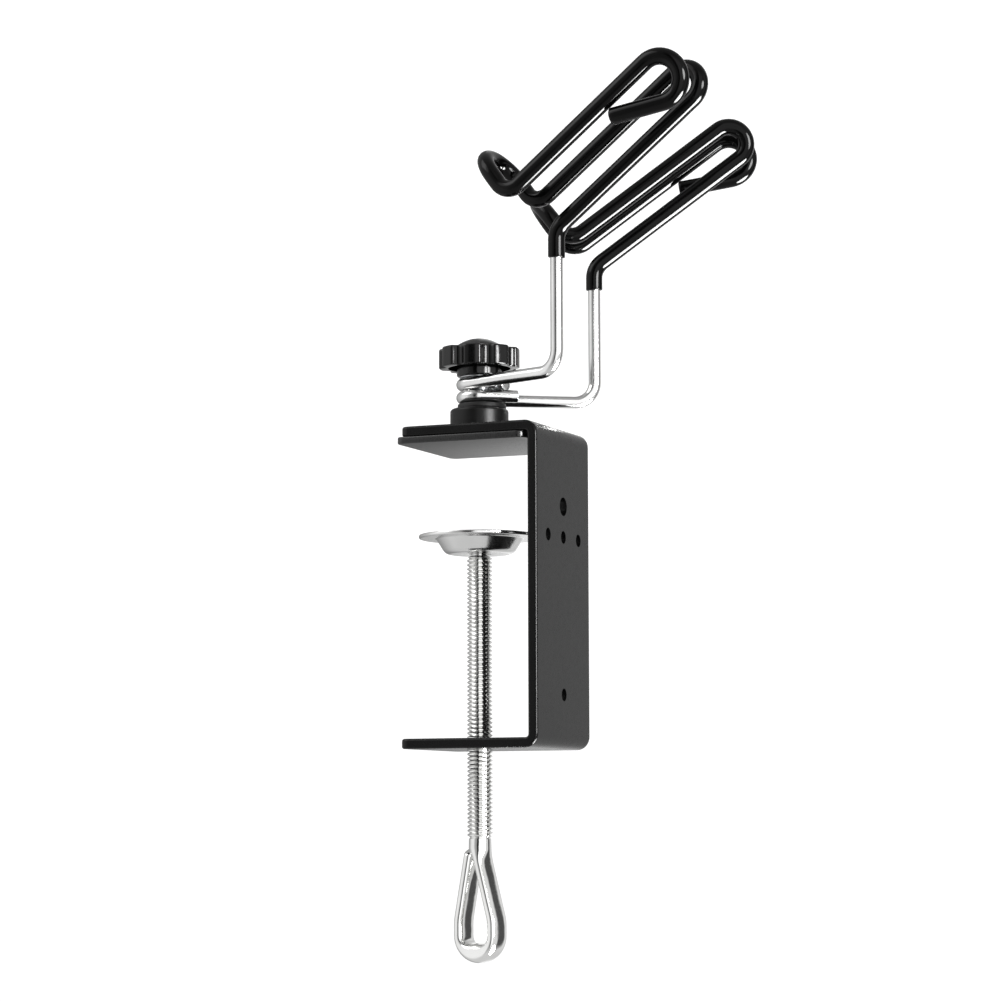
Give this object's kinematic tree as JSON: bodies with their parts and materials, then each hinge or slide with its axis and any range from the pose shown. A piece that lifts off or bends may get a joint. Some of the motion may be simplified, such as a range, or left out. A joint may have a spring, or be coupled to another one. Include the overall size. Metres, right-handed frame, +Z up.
{
  "type": "airbrush holder stand",
  "caption": "Clamp-on bench stand with a C-frame screw clamp and a pair of bent wire cradles that swing on a knob-locked pivot to hold airbrushes.",
  "frame": {"origin": "on the shared axis of clamp screw and pivot bolt, at the underside of the upper jaw pad, where it rests on a table top", "axes": "+Z up along the screw; +X towards the outside of the upright web; +Y across the strip"},
  "size_m": [0.0797, 0.0775, 0.207],
  "materials": {
    "black_powder_coat": "fine satin black powder coat over sheet steel",
    "pad_rubber": "smooth dark rubber sheet",
    "zinc_steel": "bright zinc-plated steel",
    "collar_paint": "satin black paint",
    "washer_rubber": "matt black rubber",
    "plated_wire": "satin nickel-plated drawn wire",
    "dip_vinyl": "glossy black dipped vinyl",
    "knob_plastic": "glossy black moulded plastic",
    "insert_brass": "turned brass",
    "nickel_steel": "bright nickel-plated steel"
  },
  "bodies": {
    "frame": {"bracket": "black_powder_coat", "jaw_pad": "pad_rubber", "pivot_bolt": "zinc_steel", "bolt_nut": "zinc_steel", "spacer_collar": "collar_paint", "friction_washer": "washer_rubber"},
    "lower_holder": {"lower_holder_wire": "plated_wire", "lower_holder_sleeve": "dip_vinyl"},
    "upper_holder": {"upper_holder_wire": "plated_wire", "upper_holder_sleeve": "dip_vinyl"},
    "knob_carrier": {"knob_washer": "zinc_steel"},
    "knob": {"knob_body": "knob_plastic", "knob_insert": "insert_brass"},
    "swivel_carrier": {"pad_retaining_washer": "zinc_steel"},
    "clamp_screw": {"clamp_screw": "nickel_steel"},
    "pressure_pad": {"pressure_pad": "nickel_steel"}
  },
  "joints": [
    {"name": "lower_holder_swing", "type": "hinge", "parent": "frame", "child": "lower_holder", "pos_m": [0, 0, 0.0122], "axis": [0, 0, 1], "range_deg": [-15, 110]},
    {"name": "upper_holder_swing", "type": "hinge", "parent": "frame", "child": "upper_holder", "pos_m": [0, 0, 0.0154], "axis": [0, 0, 1], "range_deg": [-110, 15]},
    {"name": "knob_lift", "type": "slide", "parent": "frame", "child": "knob_carrier", "axis": [0, 0, 1], "range_m": [0, 0.0016]},
    {"name": "knob_turn", "type": "hinge", "parent": "knob_carrier", "child": "knob", "pos_m": [0, 0, 0.02], "axis": [0, 0, 1], "range_deg": [0, 721]},
    {"name": "clamp_travel", "type": "slide", "parent": "frame", "child": "swivel_carrier", "axis": [0, 0, 1], "range_m": [-0.043, 0.0199]},
    {"name": "screw_turn", "type": "hinge", "parent": "swivel_carrier", "child": "clamp_screw", "pos_m": [0, 0, -0.06], "axis": [0, 0, 1], "range_deg": [-15481, 7165]},
    {"name": "pad_tilt", "type": "hinge", "parent": "swivel_carrier", "child": "pressure_pad", "pos_m": [0, 0, -0.0245], "axis": [0, 1, 0], "range_deg": [-3, 3]}
  ],
  "couplings": [
    {"joint": "knob_turn", "follows": "knob_lift", "rad_per_m": 7854},
    {"joint": "screw_turn", "follows": "clamp_travel", "rad_per_m": 6283.2}
  ]
}
